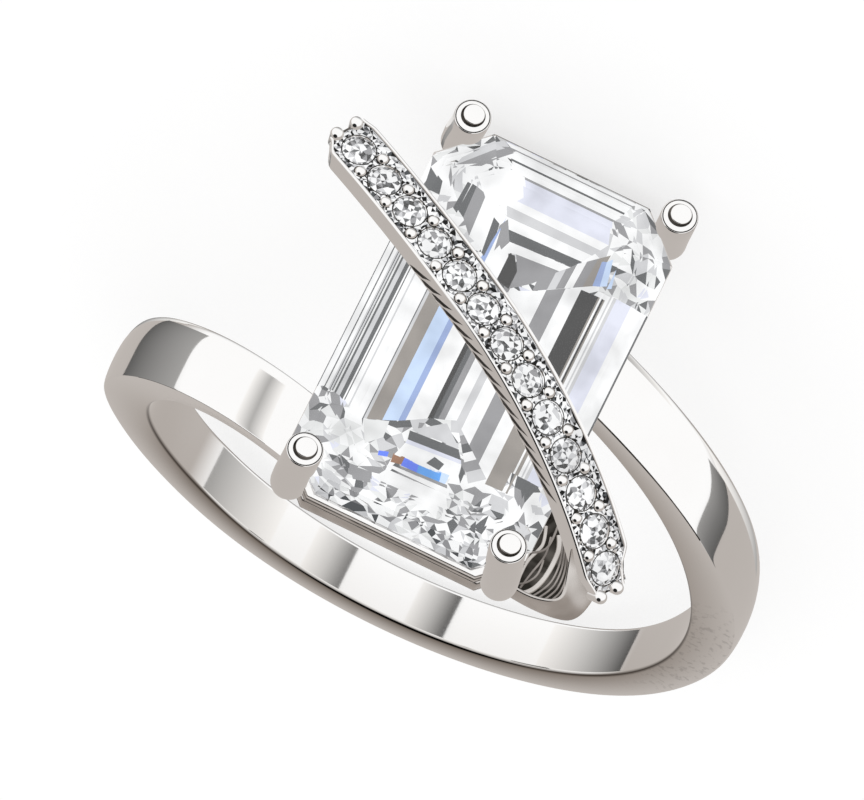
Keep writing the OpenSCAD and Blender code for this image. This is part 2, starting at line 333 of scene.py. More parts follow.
groove_shade_r = 0.362
groove_shade_inner_r = 0.3
groove_shade_z = 12.846


def circle(r, steps):
    """Points round a circle about (0, 0)."""
    turns = [2 * math.pi * k / steps for k in range(steps)]
    return [(r * math.cos(turn), r * math.sin(turn)) for turn in turns]


def cut_out(piece, tool, sharp):
    """Cuts a tool's shape out of a piece, and throws the modifier away."""
    cut = piece.modifiers.new("cut", "BOOLEAN")
    cut.operation = "DIFFERENCE"
    cut.solver = "EXACT"
    cut.object = tool
    carved = bpy.data.meshes.new_from_object(piece.evaluated_get(bpy.context.evaluated_depsgraph_get()))
    piece.modifiers.clear()
    piece.data = carved
    carved.set_sharp_from_angle(angle=math.radians(sharp))


notch_outline = ((3.865, -5.05), (3.865, 4.85), (2.525, 6.19), (-2.525, 6.19), (-3.865, 4.85),
                 (-3.865, -5.05), (-2.525, -6.39), (2.525, -6.39))
notch_heights = (girdle_z - 0.42, girdle_z + 0.37)
notch_points = [(x, y, z) for z in notch_heights for x, y in notch_outline]
notch = lay("notch", notch_points, [tuple(range(8)), tuple(range(8, 16))] + loft(2, 8), gold)
for number, (x, y, lean_x, lean_y) in enumerate((
        (3.35, 5.93, 0.05, -0.12), (-3.35, 5.93, 0.12, -0.12),
        (3.35, -5.93, -0.15, 0.19), (-3.35, -5.93, 0.09, 0.15)), 1):
    points = []
    for r, z in prong_profile[1:-1]:
        leaned = eased(max(0, (z - lean_start) / lean_height))
        points += [(x + lean_x * leaned + dx, y + lean_y * leaned + dy, z)
                   for dx, dy in circle(r, prong_steps)]
    end = len(points)
    rings = end // prong_steps
    faces = loft(rings, prong_steps)
    points += [(x, y, prong_profile[0][1]), (x + lean_x, y + lean_y, prong_profile[-1][1])]
    for k in range(prong_steps):
        n = (k + 1) % prong_steps
        faces.append((end, k, n))
        faces.append((end + 1, end - prong_steps + k, end - prong_steps + n))
    prong = lay(f"prong_{number}", points, faces, gold)
    # Painted shade: a dark band in the crease at the tip
    prong.data.materials.append(painted_shade_gold)
    for face in prong.data.polygons:
        ring = face.index // prong_steps
        if ring < rings - 1 and prong_profile[ring + 1][0] == tip_crease_r:
            face.material_index = 1
    cut_out(prong, notch, 30)

    disc_x = x + lean_x + 0.012
    disc_y = y + lean_y + 0.055
    points = [(disc_x + dx, disc_y + dy, z) for r, z in disc_profile for dx, dy in circle(r, disc_steps)]
    faces = loft(len(disc_profile), disc_steps, caps=(len(disc_profile) - 1,))
    lay(f"tip_disc_{number}", points, faces, gold)
    # Painted shade: a flat dark crescent round the disc, standing for a groove
    points = [(disc_x - 0.012 + dx, disc_y - 0.05 + dy, groove_shade_z) for dx, dy in circle(groove_shade_r, disc_steps)]
    points += [(disc_x + dx, disc_y + dy, groove_shade_z) for dx, dy in circle(groove_shade_inner_r, disc_steps)]
    lay(f"tip_groove_shade_{number}", points, loft(2, disc_steps), painted_shade_gold, 180)
bpy.data.objects.remove(notch)

# Gallery: three rails of white gold that follow the stone's outline, one above the other, with eased edges
# and dark lines of painted shade between them. The two lower ones have a satin finish, and their colour is
# darkened as painted shade.
# A short post solders the lowest rail to each shoulder.
# Satin white gold whose darker colour is painted shade
satin_shade_stops = ((0.35, (0.46, 0.43, 0.405)), (0.65, (0.62, 0.59, 0.565)))
satin_shade_gold = clouded("satin_shaded_white_gold", 900, satin_shade_stops, {"Metallic": 1, "Roughness": 0.16})
stone_side = 3.825
stone_front = 6.35
stone_back = 6.15
rail_ease = 0.06
post_x = 3.205
post_half_x = 0.4
post_half_y = 0.675


def stone_outline(inset, cut):
    """The stone's outline in eight corners, drawn in by an inset, with its corners cut off."""
    a = stone_side - inset
    b = stone_front - inset
    c = stone_back - inset
    return [(a, -b + cut), (a, c - cut), (a - cut, c), (-a + cut, c),
            (-a, c - cut), (-a, -b + cut), (-a + cut, -b), (a - cut, -b)]


for name, z, depth, inset, wall, cut, material in (
        ("rail_low", 9.6, 0.6, 0.15, 0.45, 0.9, satin_shade_gold),
        ("rail_high", 10.35, 0.4, 0.05, 0.45, 1.1, satin_shade_gold),
        ("rail_rim", 10.75, 0.2, 0.05, 0.24, 1.1, gold)):
    e = rail_ease
    rounds = ((inset + e, z), (inset + 0.3 * e, z + 0.3 * e), (inset, z + e), (inset, z + depth - e),
              (inset + 0.3 * e, z + depth - 0.3 * e), (inset + e, z + depth), (inset + wall - e, z + depth),
              (inset + wall, z + depth - e), (inset + wall, z + e), (inset + wall - e, z))
    points = [(x, y, high) for far, high in rounds for x, y in stone_outline(far, cut - 0.4 * (far - inset))]
    lay(name, points, loft(len(rounds), 8, closed=True), material, 38)
# Painted shade: thin dark lines between the rails
points = []
faces = []
for z, tall, inset, cut in ((10.2, 0.13, 0.14, 0.9), (10.48, 0.06, 0.04, 1.1), (10.68, 0.1, 0.04, 1.1),
                            (10.92, 0.08, 0.04, 1.1)):
    faces += loft(2, 8, len(points))
    points += [(x, y, high) for high in (z, z + tall) for x, y in stone_outline(inset, cut)]
lay("rail_lines", points, faces, painted_shade_gold, 38)
for name, x, a in (("post_left", -post_x, -shoulder_end), ("post_right", post_x, shoulder_end)):
    points = [(x + dx * post_half_x, swing(a) + dy * post_half_y, z) for z in (8.1, 9.9)
              for dx, dy in ((-1, -1), (1, -1), (1, 1), (-1, 1))]
    post = lay(name, points, [(0, 1, 2, 3), (4, 5, 6, 7)] + loft(2, 4), gold)
    bevel = post.modifiers.new("ease", "BEVEL")
    bevel.width = 0.08 * mm
    bevel.segments = 3

# Bar: an arched channel of polished white gold that crosses over the centre stone.
# A raised rim runs along both sides, and its floor is drilled with a seat for each small stone and painted
# dark as painted shade.
bar_turn = Matrix.Rotation(math.radians(-30), 4, "Z") @ Matrix.Translation((-0.91, -0.19, 14.06))
bar_turn = bar_turn @ Matrix.Rotation(math.radians(-10), 4, "X")
small_stones = 13
pitch = 1.213
first_stone = 1.74 - 6 * pitch
bar_start = first_stone - 0.66 * pitch
bar_finish = first_stone + 12.62 * pitch
bar_steps = 160
drill_profile = ((0.58, 0.2), (0.58, -0.2), (0.14, -0.64))
drill_steps = 40


def on_bar(t, side, height):
    """A place on the bar: along the arch, across it and above its top line, in the ring's frame."""
    radius = 34 if t < 0 else 12
    turn = t / radius
    reach = radius + height
    return bar_turn @ Vector((reach * math.sin(turn), side, reach * math.cos(turn) - radius))


def start_taper(t):
    """1 at the bar's upper left end, and 0 from half a millimetre on."""
    return 1 - eased((t - bar_start) / 0.5)


def finish_taper(t):
    """0 along the bar, and up to 1 over the last stretch of its lower right end."""
    return eased(max(0, (t - bar_finish + 0.9) / 0.9))


def right_step(t):
    """0 along the bar, and 1 where its right rim has stepped in for the foot."""
    return eased(max(0, (t - bar_finish + 1.15) / 0.6))


bar_points = []
for i in range(bar_steps + 1):
    t = bar_start + (bar_finish - bar_start) * i / bar_steps
    low = max(-0.72, -0.3 - 0.7536 * (t - bar_start))
    left = -0.75 + 0.3 * start_taper(t) + 0.2 * finish_taper(t)
    right = 0.93 - 0.1 * start_taper(t) - 0.28 * right_step(t) - 0.12 * finish_taper(t)
    rims = ((left + 0.05, low), (left, low + 0.05), (left, -0.06), (left + 0.015, -0.015),
            (left + 0.035, 0.0), (left + 0.08, 0.0), (left + 0.095, -0.01), (left + 0.1, -0.05),
            (right - 0.1, -0.05), (right - 0.09, -0.01), (right - 0.075, 0.0), (right - 0.04, 0.0),
            (right - 0.01, -0.015), (right, -0.05), (right, low + 0.05), (right - 0.05, low))
    bar_points += [on_bar(t, side, height) for side, height in rims]
bar_rows = len(rims)
floor_row = 7
bar = lay("bar", bar_points, loft(bar_steps + 1, bar_rows, caps=(0, bar_steps)), gold, 40)
# Painted shade: the channel's floor is painted dark
bar.data.materials.append(painted_shade_gold)
for face in bar.data.polygons:
    if face.index < bar_steps * bar_rows and face.index % bar_rows == floor_row:
        face.material_index = 1
drill_points = []
drill_faces = []
for i in range(small_stones):
    t = first_stone + i * pitch
    start = len(drill_points)
    seat = on_bar(t, 0, 0)
    along = (on_bar(t + 0.01, 0, 0) - on_bar(t - 0.01, 0, 0)).normalized()
    across = (on_bar(t, 1, 0) - seat).normalized()
    over = (on_bar(t, 0, 1) - seat).normalized()
    for r, high in drill_profile:
        for k in range(drill_steps):
            turn = 2 * math.pi * k / drill_steps
            drill_points.append(seat + along * r * math.cos(turn) + across * r * math.sin(turn) + over * high)
    drill_faces += loft(len(drill_profile), drill_steps, start, caps=(0, len(drill_profile) - 1))
drills = lay("drills", drill_points, drill_faces, gold)
cut_out(bar, drills, 35)
bpy.data.objects.remove(drills)

# Beads and claws: small balls of white gold, raised from the bar's own metal with a graver.
# A pair of beads stands between each two small stones, a pair of claws at each end of the bar, and flat dark
# rings and hooks of painted shade lie round the beads, round the stones and on the bar's outer wall.
bead_r = 0.168
bead_side = 0.42
bead_steps = 24
claw_r = 0.2
claw_neck_r = 0.198
seat_steps = 32


def round_on_bar(t, side, height, r, steps):
    """Points round a circle on the bar, about a place on it."""
    return [on_bar(t + dx, side + dy, height) for dx, dy in circle(r, steps)]


def ball(centre, radius, points, faces):
    """Adds a ball to a list of points and faces."""
    start = len(points)
    work = bmesh.new()
    bmesh.ops.create_uvsphere(work, u_segments=24, v_segments=14, radius=radius)
    points += [Vector(centre) + v.co for v in work.verts]
    faces += [tuple(start + v.index for v in f.verts) for f in work.faces]
    work.free()


bead_points = []
bead_faces = []
# Painted shade: flat dark rings round the beads and round the stones
groove_shade_points = []
groove_shade_faces = []
for i in range(small_stones - 1):
    t = first_stone + (i + 0.5) * pitch
    for side in (-bead_side, bead_side):
        ball(on_bar(t, side, -0.05), bead_r, bead_points, bead_faces)
        start = len(groove_shade_points)
        groove_shade_points.append(on_bar(t, side, -0.02))
        groove_shade_points += round_on_bar(t, side, -0.03, 0.2, bead_steps)
        groove_shade_faces += [(start, start + 1 + k, start + 1 + (k + 1) % bead_steps) for k in range(bead_steps)]
for i in range(small_stones):
    t = first_stone + i * pitch
    groove_shade_faces += loft(2, seat_steps, len(groove_shade_points))
    for r in (0.532, 0.5):
        groove_shade_points += round_on_bar(t, 0, -0.005, r, seat_steps)
for t, side in ((bar_start + 0.03, -0.22), (bar_start + 0.03, 0.5),
                (bar_finish - 0.01, -0.42), (bar_finish - 0.01, 0.2)):
    ball(on_bar(t, side, 0.02), claw_r, bead_points, bead_faces)
    bead_faces += loft(2, bead_steps, len(bead_points), caps=(1,))
    for height in (0.02, -0.4):
        bead_points += round_on_bar(t, side, height, claw_neck_r, bead_steps)
lay("beads", bead_points, bead_faces, gold, 60)
# Painted shade: dark hooks along the bar's outer wall
hooks = 15
hook_pitch = 0.54
first_hook = -1.9
hook_side = -0.758
hook_outline = ((0, -0.6), (0.26, -0.63), (0.6, -0.5), (0.9, -0.2), (0.56, -0.36), (0.18, -0.5))
hook_points = []
hook_faces = []
for i in range(hooks):
    t = first_hook + hook_pitch * i
    start = len(hook_points)
    hook_points += [on_bar(t + dt, hook_side, height) for dt, height in hook_outline]
    hook_faces.append(tuple(range(start, len(hook_points))))
lay("bar_hooks", hook_points, hook_faces, painted_shade_gold, 180)
lay("bead_groove_shades", groove_shade_points, groove_shade_faces, painted_shade_gold, 180)

# Leg: a round wire of polished white gold that carries the bar's upper left end.
# It is soldered under the bar, runs down beside the stone and bends in to the gallery.


def tube(name, path, radius, material):
    """A round wire along a path in the ring's frame."""
    curve = bpy.data.curves.new(name, "CURVE")
    curve.dimensions = "3D"
    curve.bevel_depth = radius * mm
    curve.bevel_resolution = 8
    curve.use_fill_caps = True
    spline = curve.splines.new("NURBS")
    spline.points.add(len(path) - 1)
    for point, at in zip(spline.points, path):
        point.co = tuple(laid @ Vector(at)) + (1,)
    spline.use_endpoint_u = True
    spline.order_u = 3
    spline.resolution_u = 12
    curve.materials.append(material)
    return put(name, curve, "ring_mount")


leg_path = ((-5.13, 2.72, 13.2), (-5.17, 3.2, 12.0), (-5.25, 4, 10.0), (-4.4, 4, 9.95), (-3.425, 4, 9.95))
tube("leg", leg_path, 0.35, gold)

# Foot: a smooth wall of white gold that carries the bar's lower right end.
# It is bent from sheet, curls from the bar round to the front right prong, and has the satin finish, its
# colour darkened as painted shade.
foot_top = ((3.40, -5.87, 10.4), (3.63, -5.89, 10.4), (4.29, -5.97, 10.4), (4.91, -5.84, 10.45),
            (5.17, -5.65, 10.5), (5.22, -5.40, 10.55), (5.14, -5.10, 10.7), (5.02, -4.80, 10.95),
            (4.92, -4.50, 11.3), (4.80, -4.30, 11.6))
foot_low = ((3.44, -5.90, 9.6), (3.63, -5.90, 9.6), (4.28, -5.97, 9.6), (4.96, -5.97, 9.6),
            (5.38, -5.90, 9.6), (5.68, -5.78, 9.6), (5.90, -5.57, 9.65), (6.02, -5.30, 9.8),
            (6.1, -4.95, 10.1), (5.98, -4.55, 10.6))
foot_thick = 0.2
foot_last = len(foot_top) - 1
foot_points = []
for i, (top, low) in enumerate(zip(foot_top, foot_low)):
    top = Vector(top)
    low = Vector(low)
    along = Vector(foot_top[min(i + 1, foot_last)]) - Vector(foot_top[max(i - 1, 0)])
    inward = Vector((-along.y, along.x, 0)).normalized()
    foot_points += [low + inward * foot_thick, low, (top + low) / 2 - inward * 0.06, top,
                    top + inward * 0.05 + Vector((0, 0, 0.03)), top + inward * 0.14,
                    (top + low) / 2 + inward * foot_thick]
foot_rows = len(foot_points) // len(foot_top)
foot_faces = loft(len(foot_top), foot_rows, caps=(0, foot_last))
# Satin gold, darkened as painted shade
foot = lay("foot", foot_points, foot_faces, satin_shade_gold, 180)
rounding = foot.modifiers.new("rounding", "SUBSURF")
rounding.levels = 3
rounding.render_levels = 3

# Recess and ribs: the hollow between the foot and the stone, a thin shell of white gold painted dark as
# painted shade. Nine bent wires cross it and are soldered in at both ends, two of them thick and the others
# thin, all darkened as painted shade.
recess_rim = ((3.60, -5.73, 9.75), (4.33, -5.84, 9.75), (5.02, -5.63, 9.75), (5.24, -5.30, 9.85),
              (5.08, -4.69, 9.95), (4.78, -3.91, 10.0), (4.23, -3.21, 10.0), (3.56, -2.67, 10.0),
              (3.29, -3.08, 9.8), (3.27, -3.96, 9.75), (3.28, -4.84, 9.75))
recess_centre = Vector((4.15, -4.6, 9.35))
recess_shares = (1.0, 0.8, 0.6, 0.4, 0.2)
recess_points = []
for share in recess_shares:
    for x, y, z in recess_rim:
        point = recess_centre.lerp(Vector((x, y, z)), share)
        point.z = recess_centre.z + (z - recess_centre.z) * share ** 2
        recess_points.append(point)
recess_rows = len(recess_rim)
recess_end = len(recess_points)
recess_faces = loft(len(recess_shares), recess_rows)
inmost = recess_end - recess_rows
for k in range(recess_rows):
    recess_faces.append((inmost + k, inmost + (k + 1) % recess_rows, recess_end))
recess_points.append(recess_centre)
# Painted shade: the recess shell is painted dark
recess = lay("recess", recess_points, recess_faces, painted_shade_gold, 180)
shell = recess.modifiers.new("depth", "SOLIDIFY")
shell.thickness = 0.12 * mm

# Thin wires darkened further, as painted shade in the recess
wire_shade_stops = ((0.35, (0.12, 0.105, 0.095)), (0.65, (0.34, 0.31, 0.29)))
wire_shade_gold = clouded("shaded_wire_white_gold", 900, wire_shade_stops, {"Metallic": 1, "Roughness": 0.16})
fan_outer = ((4.86, -4.3, 10.4), (5, -4.6, 10.3), (5.1, -5, 10.15), (5.08, -5.4, 10), (4.85, -5.72, 9.9))
fan_inner = ((4.42, -3.9, 10.4), (4.58, -4.3, 10.3), (4.64, -4.8, 10.15), (4.56, -5.25, 10),
             (4.3, -5.62, 9.9))
ribs = [(0.075, satin_shade_gold, ((4.3, -3.8, 10.4), (4.46, -4.08, 10.35), (4.5, -4.4, 10.25),
                            (4.49, -4.9, 10.15), (4.4, -5.34, 10.05), (4.21, -5.66, 10),
                            (3.94, -5.81, 9.95), (3.53, -5.78, 9.9)))]
for share in (0.15, 0.4, 0.65, 0.9):
    ribs.append((0.028, wire_shade_gold, [Vector(a).lerp(Vector(b), share) for a, b in zip(fan_inner, fan_outer)]))
ribs.append((0.05, satin_shade_gold, ((3.84, -3.68, 10.3), (4.02, -4.13, 10.25), (3.93, -4.48, 10.2),
                               (3.81, -4.77, 10.15), (3.78, -5.11, 10.1), (3.8, -5.48, 10))))
ribs.append((0.03, wire_shade_gold, ((4.1, -3.9, 10.25), (4.2, -4.3, 10.2), (4.16, -4.7, 10.15),
                               (4.05, -5.1, 10.1), (3.95, -5.6, 9.95))))
ribs.append((0.035, wire_shade_gold, ((4.15, -3.6, 10.45), (4.2, -4.1, 10.4), (4.1, -4.45, 10.35),
                                (3.7, -4.67, 10.3), (3.35, -4.75, 10.2))))
ribs.append((0.03, wire_shade_gold, ((4.2, -4.6, 10.15), (4.28, -5.0, 10.15), (4.1, -5.4, 10.1),
                               (3.8, -5.62, 10.05), (3.4, -5.6, 10))))
for number, (radius, material, path) in enumerate(ribs, 1):
    tube(f"rib_{number}", path, radius, material)

# Centre stone: an emerald cut, clear as glass, with a flat table, three crown steps and a pavilion
# of four steps. It is cut facet by facet from a block, and the prongs hold it at its girdle.
clear = clouded("clear_stone", 400, ((0, (0.985, 0.99, 0.995)), (1, (1, 1, 1))),
                {"Roughness": 0, "IOR": 1.8, "Specular IOR Level": 0.3, "Transmission Weight": 1})
table_z = 12.275
corner_cut = 1.34
crown = ((0, 11.525), (0.42, 11.885), (0.9, 12.125), (1.4, table_z))
pavilion = ((0, 11.275), (0.5, 10.72), (1.25, 10.14), (2.25, 9.55), (3.785, 8.925))
stone = bmesh.new()
bmesh.ops.create_cube(stone, size=18)
for vert in stone.verts:
    vert.co.z += 11


def slice_off(point, normal):
    """Cuts away what lies past a plane, and closes the cut with one flat facet."""
    found = bmesh.ops.bisect_plane(stone, geom=stone.verts[:] + stone.edges[:] + stone.faces[:], dist=1e-5,
                                   plane_co=point, plane_no=normal, clear_outer=True)
    rim = [e for e in found["geom_cut"] if isinstance(e, bmesh.types.BMEdge)]
    if len(rim) > 2:
        bmesh.ops.contextual_create(stone, geom=rim)


def facet(turn, reach, start, end):
    """A facet that faces turn degrees from the front, between two levels of (inset, height)."""
    out = Vector((math.sin(math.radians(turn)), -math.cos(math.radians(turn)), 0))
    point = out * (reach - start[0]) + Vector((0, 0, start[1]))
    rise = end[1] - start[1]
    run = end[0] - start[0]
    slice_off(point, out * abs(rise) + Vector((0, 0, math.copysign(run, rise))))


slice_off((0, 0, table_z), (0, 0, 1))
stone_sides = [(0, stone_front), (180, stone_back), (90, stone_side), (-90, stone_side)]
for turn in (45, -45, 135, -135):
    nearest_end = stone_front if abs(turn) < 90 else stone_back
    stone_sides.append((turn, (stone_side + nearest_end - corner_cut) / math.sqrt(2)))
for turn, reach in stone_sides:
    facet(turn, reach, (0, girdle_z), (0, 12))
    for steps in (crown, pavilion):
        for start, end in zip(steps, steps[1:]):
            facet(turn, reach, start, end)
stone_mesh = bpy.data.meshes.new("emerald_cut")
bmesh.ops.recalc_face_normals(stone, faces=stone.faces)
stone.to_mesh(stone_mesh)
stone.free()
stone_mesh.transform(laid)
stone_mesh.materials.append(clear)
put("emerald_cut", stone_mesh, "centre_stone")

# Small stones: thirteen round brilliants of 1.08 mm, cut like the centre stone from clear rough.
# The part's own solids show them, each dropped into its drilled seat and held by four beads.
for name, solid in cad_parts.items():
    if name != "ring_mount":
        solid.data.materials.clear()
        solid.data.materials.append(clear)
        solid.data.polygons.foreach_set("use_smooth", [False] * len(solid.data.polygons))
        solid.visible_glossy = False

# Light in the centre stone: the facets of a cut stone throw back flat patches of one tone each.
# Thin panes just under the crown stand for them, first a fine mosaic that falls by chance,
# then long panes beside the keel, and the ends and flashes over those.
pane_colours = {
    "white": (0.9, 0.905, 0.91), "pearl": (0.76, 0.77, 0.77), "pale": (0.6, 0.605, 0.62),
    "grey": (0.28, 0.28, 0.29), "slate": (0.09, 0.095, 0.1), "dark": (0.018, 0.018, 0.018),
    "taupe": (0.29, 0.265, 0.24), "ice": (0.55, 0.69, 0.92), "sky": (0.3, 0.4, 0.68),
    "azure": (0.08, 0.34, 0.85), "lilac": (0.72, 0.74, 0.85), "blue": (0.1, 0.2, 0.95),
    "amber": (0.3, 0.14, 0.07)}
pane_order = list(pane_colours)
pane_tones = []
for name, colour in pane_colours.items():
    pane_stops = ((0.3, [0.72 * part for part in colour]), (0.6, colour))
    pane_tones.append(clouded(f"pane_{name}", 800, pane_stops, {"Metallic": 1, "Roughness": 0.06}))
mosaic_grid = 0.27
mosaic_part = 0.35
mosaic_jitter = 0.45
fine_spots = 150


def lay_panes(name, points, faces, tones):
    """Flat panes inside a stone or on the bar, each with its own tone."""
    mesh = bpy.data.meshes.new(name)
    mesh.from_pydata([tuple(p) for p in points], [], faces)
    mesh.transform(laid)
    for tone in pane_tones:
        mesh.materials.append(tone)
    mesh.polygons.foreach_set("material_index", [pane_order.index(tone) for tone in tones])
    put(name, mesh)


def depth_at(x, y):
    """Height of the panes under the girdle: a shallow hollow that follows the outline."""
    inset = min(stone_side - abs(x), stone_front + y, stone_back - y)
    return 11.32 - 0.2 * max(0, inset)


chance = np.random.default_rng(11)
loose = [Vector((x, y)) for x, y in stone_outline(0.1, 1.3)]
corners = len(loose)
rim_edges = []
for k in range(corners):
    start = loose[k]
    end = loose[(k + 1) % corners]
    parts = max(1, int((end - start).length / mosaic_part))
    last = k
    for j in range(1, parts):
        loose.append(start.lerp(end, j / parts))
        rim_edges.append((last, len(loose) - 1))
        last = len(loose) - 1
    rim_edges.append((last, (k + 1) % corners))
for i in range(-14, 15):
    for j in range(-23, 24):
        x = (i + chance.uniform(-mosaic_jitter, mosaic_jitter)) * mosaic_grid
        y = (j + chance.uniform(-mosaic_jitter, mosaic_jitter)) * mosaic_grid
        if abs(x) < 3.6 and -6.15 < y < 5.95 and abs(x) + abs(y + 0.1) < 8.45:
            loose.append(Vector((x, y)))
for i in range(fine_spots):
    loose.append(Vector((chance.uniform(-2.6, 2.6), chance.uniform(-6.1, -4.5))))
found = geometry.delaunay_2d_cdt(loose, rim_edges, [], 1, 1e-5)
pane_points = [(x, y, depth_at(x, y) + chance.uniform(-0.03, 0.03)) for x, y in found[0]]
pane_faces = [tuple(face) for face in found[2]]
pane_list = [None] * len(pane_faces)


def edges_of(face):
    """The three edges of a triangle, each the same from both of its sides."""
    return [frozenset((face[k], face[(k + 1) % 3])) for k in range(3)]


neighbours = {}
for number, face in enumerate(pane_faces):
    for edge in edges_of(face):
        neighbours.setdefault(edge, []).append(number)
for number in chance.permutation(len(pane_faces)):
    if pane_list[number] is None:
        tone = chance.choice(["white", "pearl", "pale", "lilac", "grey", "slate"],
                             p=[0.4, 0.14, 0.15, 0.02, 0.16, 0.13])
        pane_list[number] = tone
        beside = [n for edge in edges_of(pane_faces[number]) for n in neighbours[edge]
                  if pane_list[n] is None]
        if beside and chance.random() < 0.65:
            pane_list[beside[0]] = tone


def pane(tone, places, lift=0.08):
    """One pane over the small ones."""
    start = len(pane_points)
    for x, y in places:
        pane_points.append((x, y, depth_at(x, y) + lift))
    pane_faces.append(tuple(range(start, len(pane_points))))
    pane_list.append(tone)


def long_ends(x):
    """Where a long pane's edge starts and stops, from the stone's front to its back."""
    if x < -0.05:
        low = float(np.interp(x, (-3.83, -3.66, -2.87, -2.3, -1.65, -1.23, -0.43, 0.23),
                              (-3.4, -3.2, -3.35, -3.72, -3.42, -3.2, -2.66, -2.4)))
        high = 2.2 if x < -1.25 else 3.45 + 1.2 * max(0, -0.7 - x) - 2.2 * max(0, x + 0.7)
    else:
        low = -2.4 - 0.861 * (x - 0.23) if x < 1.74 else (-3.85 if x < 2.3 else -3.2)
        high = 1.94 + 0.6 * x if x < 1.5 else (2.9 if x < 2.36 else 3.1)
    return low, high


# Long panes beside the keel, from the left edge to the right one
long_panes = ((-3.8, "slate"), (-3.74, "white"), (-3.5, "slate"), (-3.45, "white"), (-3.3, "pale"),
              (-3.24, "slate"), (-3.2, "pearl"), (-3.14, "slate"), (-3.07, "pale"), (-2.92, "slate"),
              (-2.78, "white"), (-2.62, "pale"), (-2.57, "white"), (-2.235, "slate"), (-2.205, "pale"),
              (-2.12, "taupe"), (-1.7, "ice"), (-1.28, "sky"), (-1.1, "white"), (-0.56, "dark"),
              (-0.42, "slate"), (-0.28, "grey"), (-0.1, "white"), (0.22, "pale"), (0.45, "white"),
              (0.86, "grey"), (1.34, "white"), (1.76, "dark"), (2.3, "taupe"), (2.35, "white"),
              (2.45, "pale"), (2.5, "white"), (2.56, "pale"), (2.66, "lilac"), (3.1, "white"), (3.7, "slate"))
long_stop = (3.81, "")
dark_start = -1.2
for (x, tone), (x_next, _) in zip(long_panes, long_panes[1:] + (long_stop,)):
    low, high = long_ends(x)
    low_next, high_next = long_ends(x_next)
    if tone == "dark" and x > 0:
        pane("taupe", ((x, low), (x_next, low), (x_next, dark_start), (x, dark_start)))
        low = low_next = dark_start
    pane(tone, ((x, low), (x_next, low_next), (x_next, high_next), (x, high)))

# Broken panes along the two right-hand hips, where the ends meet the long side
hip_cuts = (0, 0.24, 0.38, 0.52, 0.66, 0.82, 1)
for one, two, far_one, far_two, tones in (
        ((0.5, 2.25), (0.5, 2.85), (2.03, 3.15), (2.09, 4.25),
         ("grey", "pale", "grey", "white", "grey", "taupe")),
        ((0.23, -2.4), (0.23, -2.4), (1.32, -4.06), (1.74, -3.7),
         ("pale", "grey", "slate", "white", "grey", "pale"))):
    for tone, cut_in, cut_off in zip(tones, hip_cuts, hip_cuts[1:]):
        places = [Vector(near).lerp(Vector(far), share) for near, far, share in (
            (one, far_one, cut_in), (one, far_one, cut_off), (two, far_two, cut_off), (two, far_two, cut_in))]
        pane(tone, places, 0.1)

# Panes across both ends, over them those at the back left, and the brightest and darkest on top
end_panes = (
    ("pale", ((0, -2.6), (-0.84, -3.3), (0.64, -3.16))),
    ("slate", ((-0.86, -3.33), (0.64, -3.2), (0.84, -3.48), (-0.8, -3.62))),
    ("lilac", ((-0.8, -3.62), (0.84, -3.48), (0.9, -3.6), (-0.82, -3.76))),
    ("white", ((-0.82, -3.76), (0.9, -3.6), (1.0, -3.85), (-0.86, -3.95))),
    ("white", ((-0.86, -3.95), (1.0, -3.85), (1.08, -4.15), (-0.95, -4.25))),
    ("amber", ((-0.98, -4.22), (-0.64, -4.18), (-0.64, -4.45), (-0.95, -4.52))),
    ("blue", ((-0.64, -4.2), (-0.2, -4.16), (-0.14, -4.46), (-0.64, -4.48))),
    ("azure", ((-0.2, -4.16), (0.5, -4.1), (0.56, -4.43), (-0.14, -4.46))),
    ("ice", ((0.5, -4.1), (0.74, -4.08), (0.74, -4.4), (0.56, -4.43))),
    ("grey", ((-0.7, -4.5), (0.8, -4.4), (0.85, -4.5), (-0.55, -4.6))),
    ("blue", ((-1.4, -4.35), (-1.12, -4.25), (-1.1, -4.42), (-1.36, -4.5))),
    ("white", ((-0.95, -4.6), (0.9, -4.5), (1.12, -4.95), (-1.2, -5.05))),
    ("grey", ((-1.9, -5.0), (-1.3, -4.9), (-1.2, -5.15), (-1.7, -5.3))),
    ("dark", ((-0.66, 2.1), (-0.14, 2.0), (-0.14, 2.6), (-0.4, 3.0), (-0.72, 2.95))),
    ("grey", ((-0.14, 2.6), (-0.14, 2.0), (0.4, 2.45), (0.95, 3.15), (-0.38, 3.05))),
    ("white", ((-0.72, 2.95), (-0.4, 3.05), (0.95, 3.15), (1.2, 3.4), (-0.84, 3.3))))
back_rows = (
    ("slate", (-0.84, 3.3), (1.2, 3.42)), ("white", (-1, 3.62), (1.42, 3.7)),
    ("pale", (-1.1, 3.95), (1.6, 4)), ("white", (-1.25, 4.25), (1.75, 4.25)),
    ("lilac", (-1.35, 4.5), (1.9, 4.5)), ("grey", (-1.5, 5.05), (1.7, 5.05)),
    ("white", (-1.55, 5.13), (1.75, 5.13)),
    ("slate", (-1.7, 5.38), (1.9, 5.38)), ("white", (-1.75, 5.46), (1.9, 5.46)),
    ("grey", (-1.9, 5.75), (2, 5.75)), ("white", (-1.9, 5.82), (2, 5.82)), ("", (-2.1, 6.02), (2.2, 6.02)))
back_panes = [(tone, (left, right, right_next, left_next))
              for (tone, left, right), (_, left_next, right_next) in zip(back_rows, back_rows[1:])]
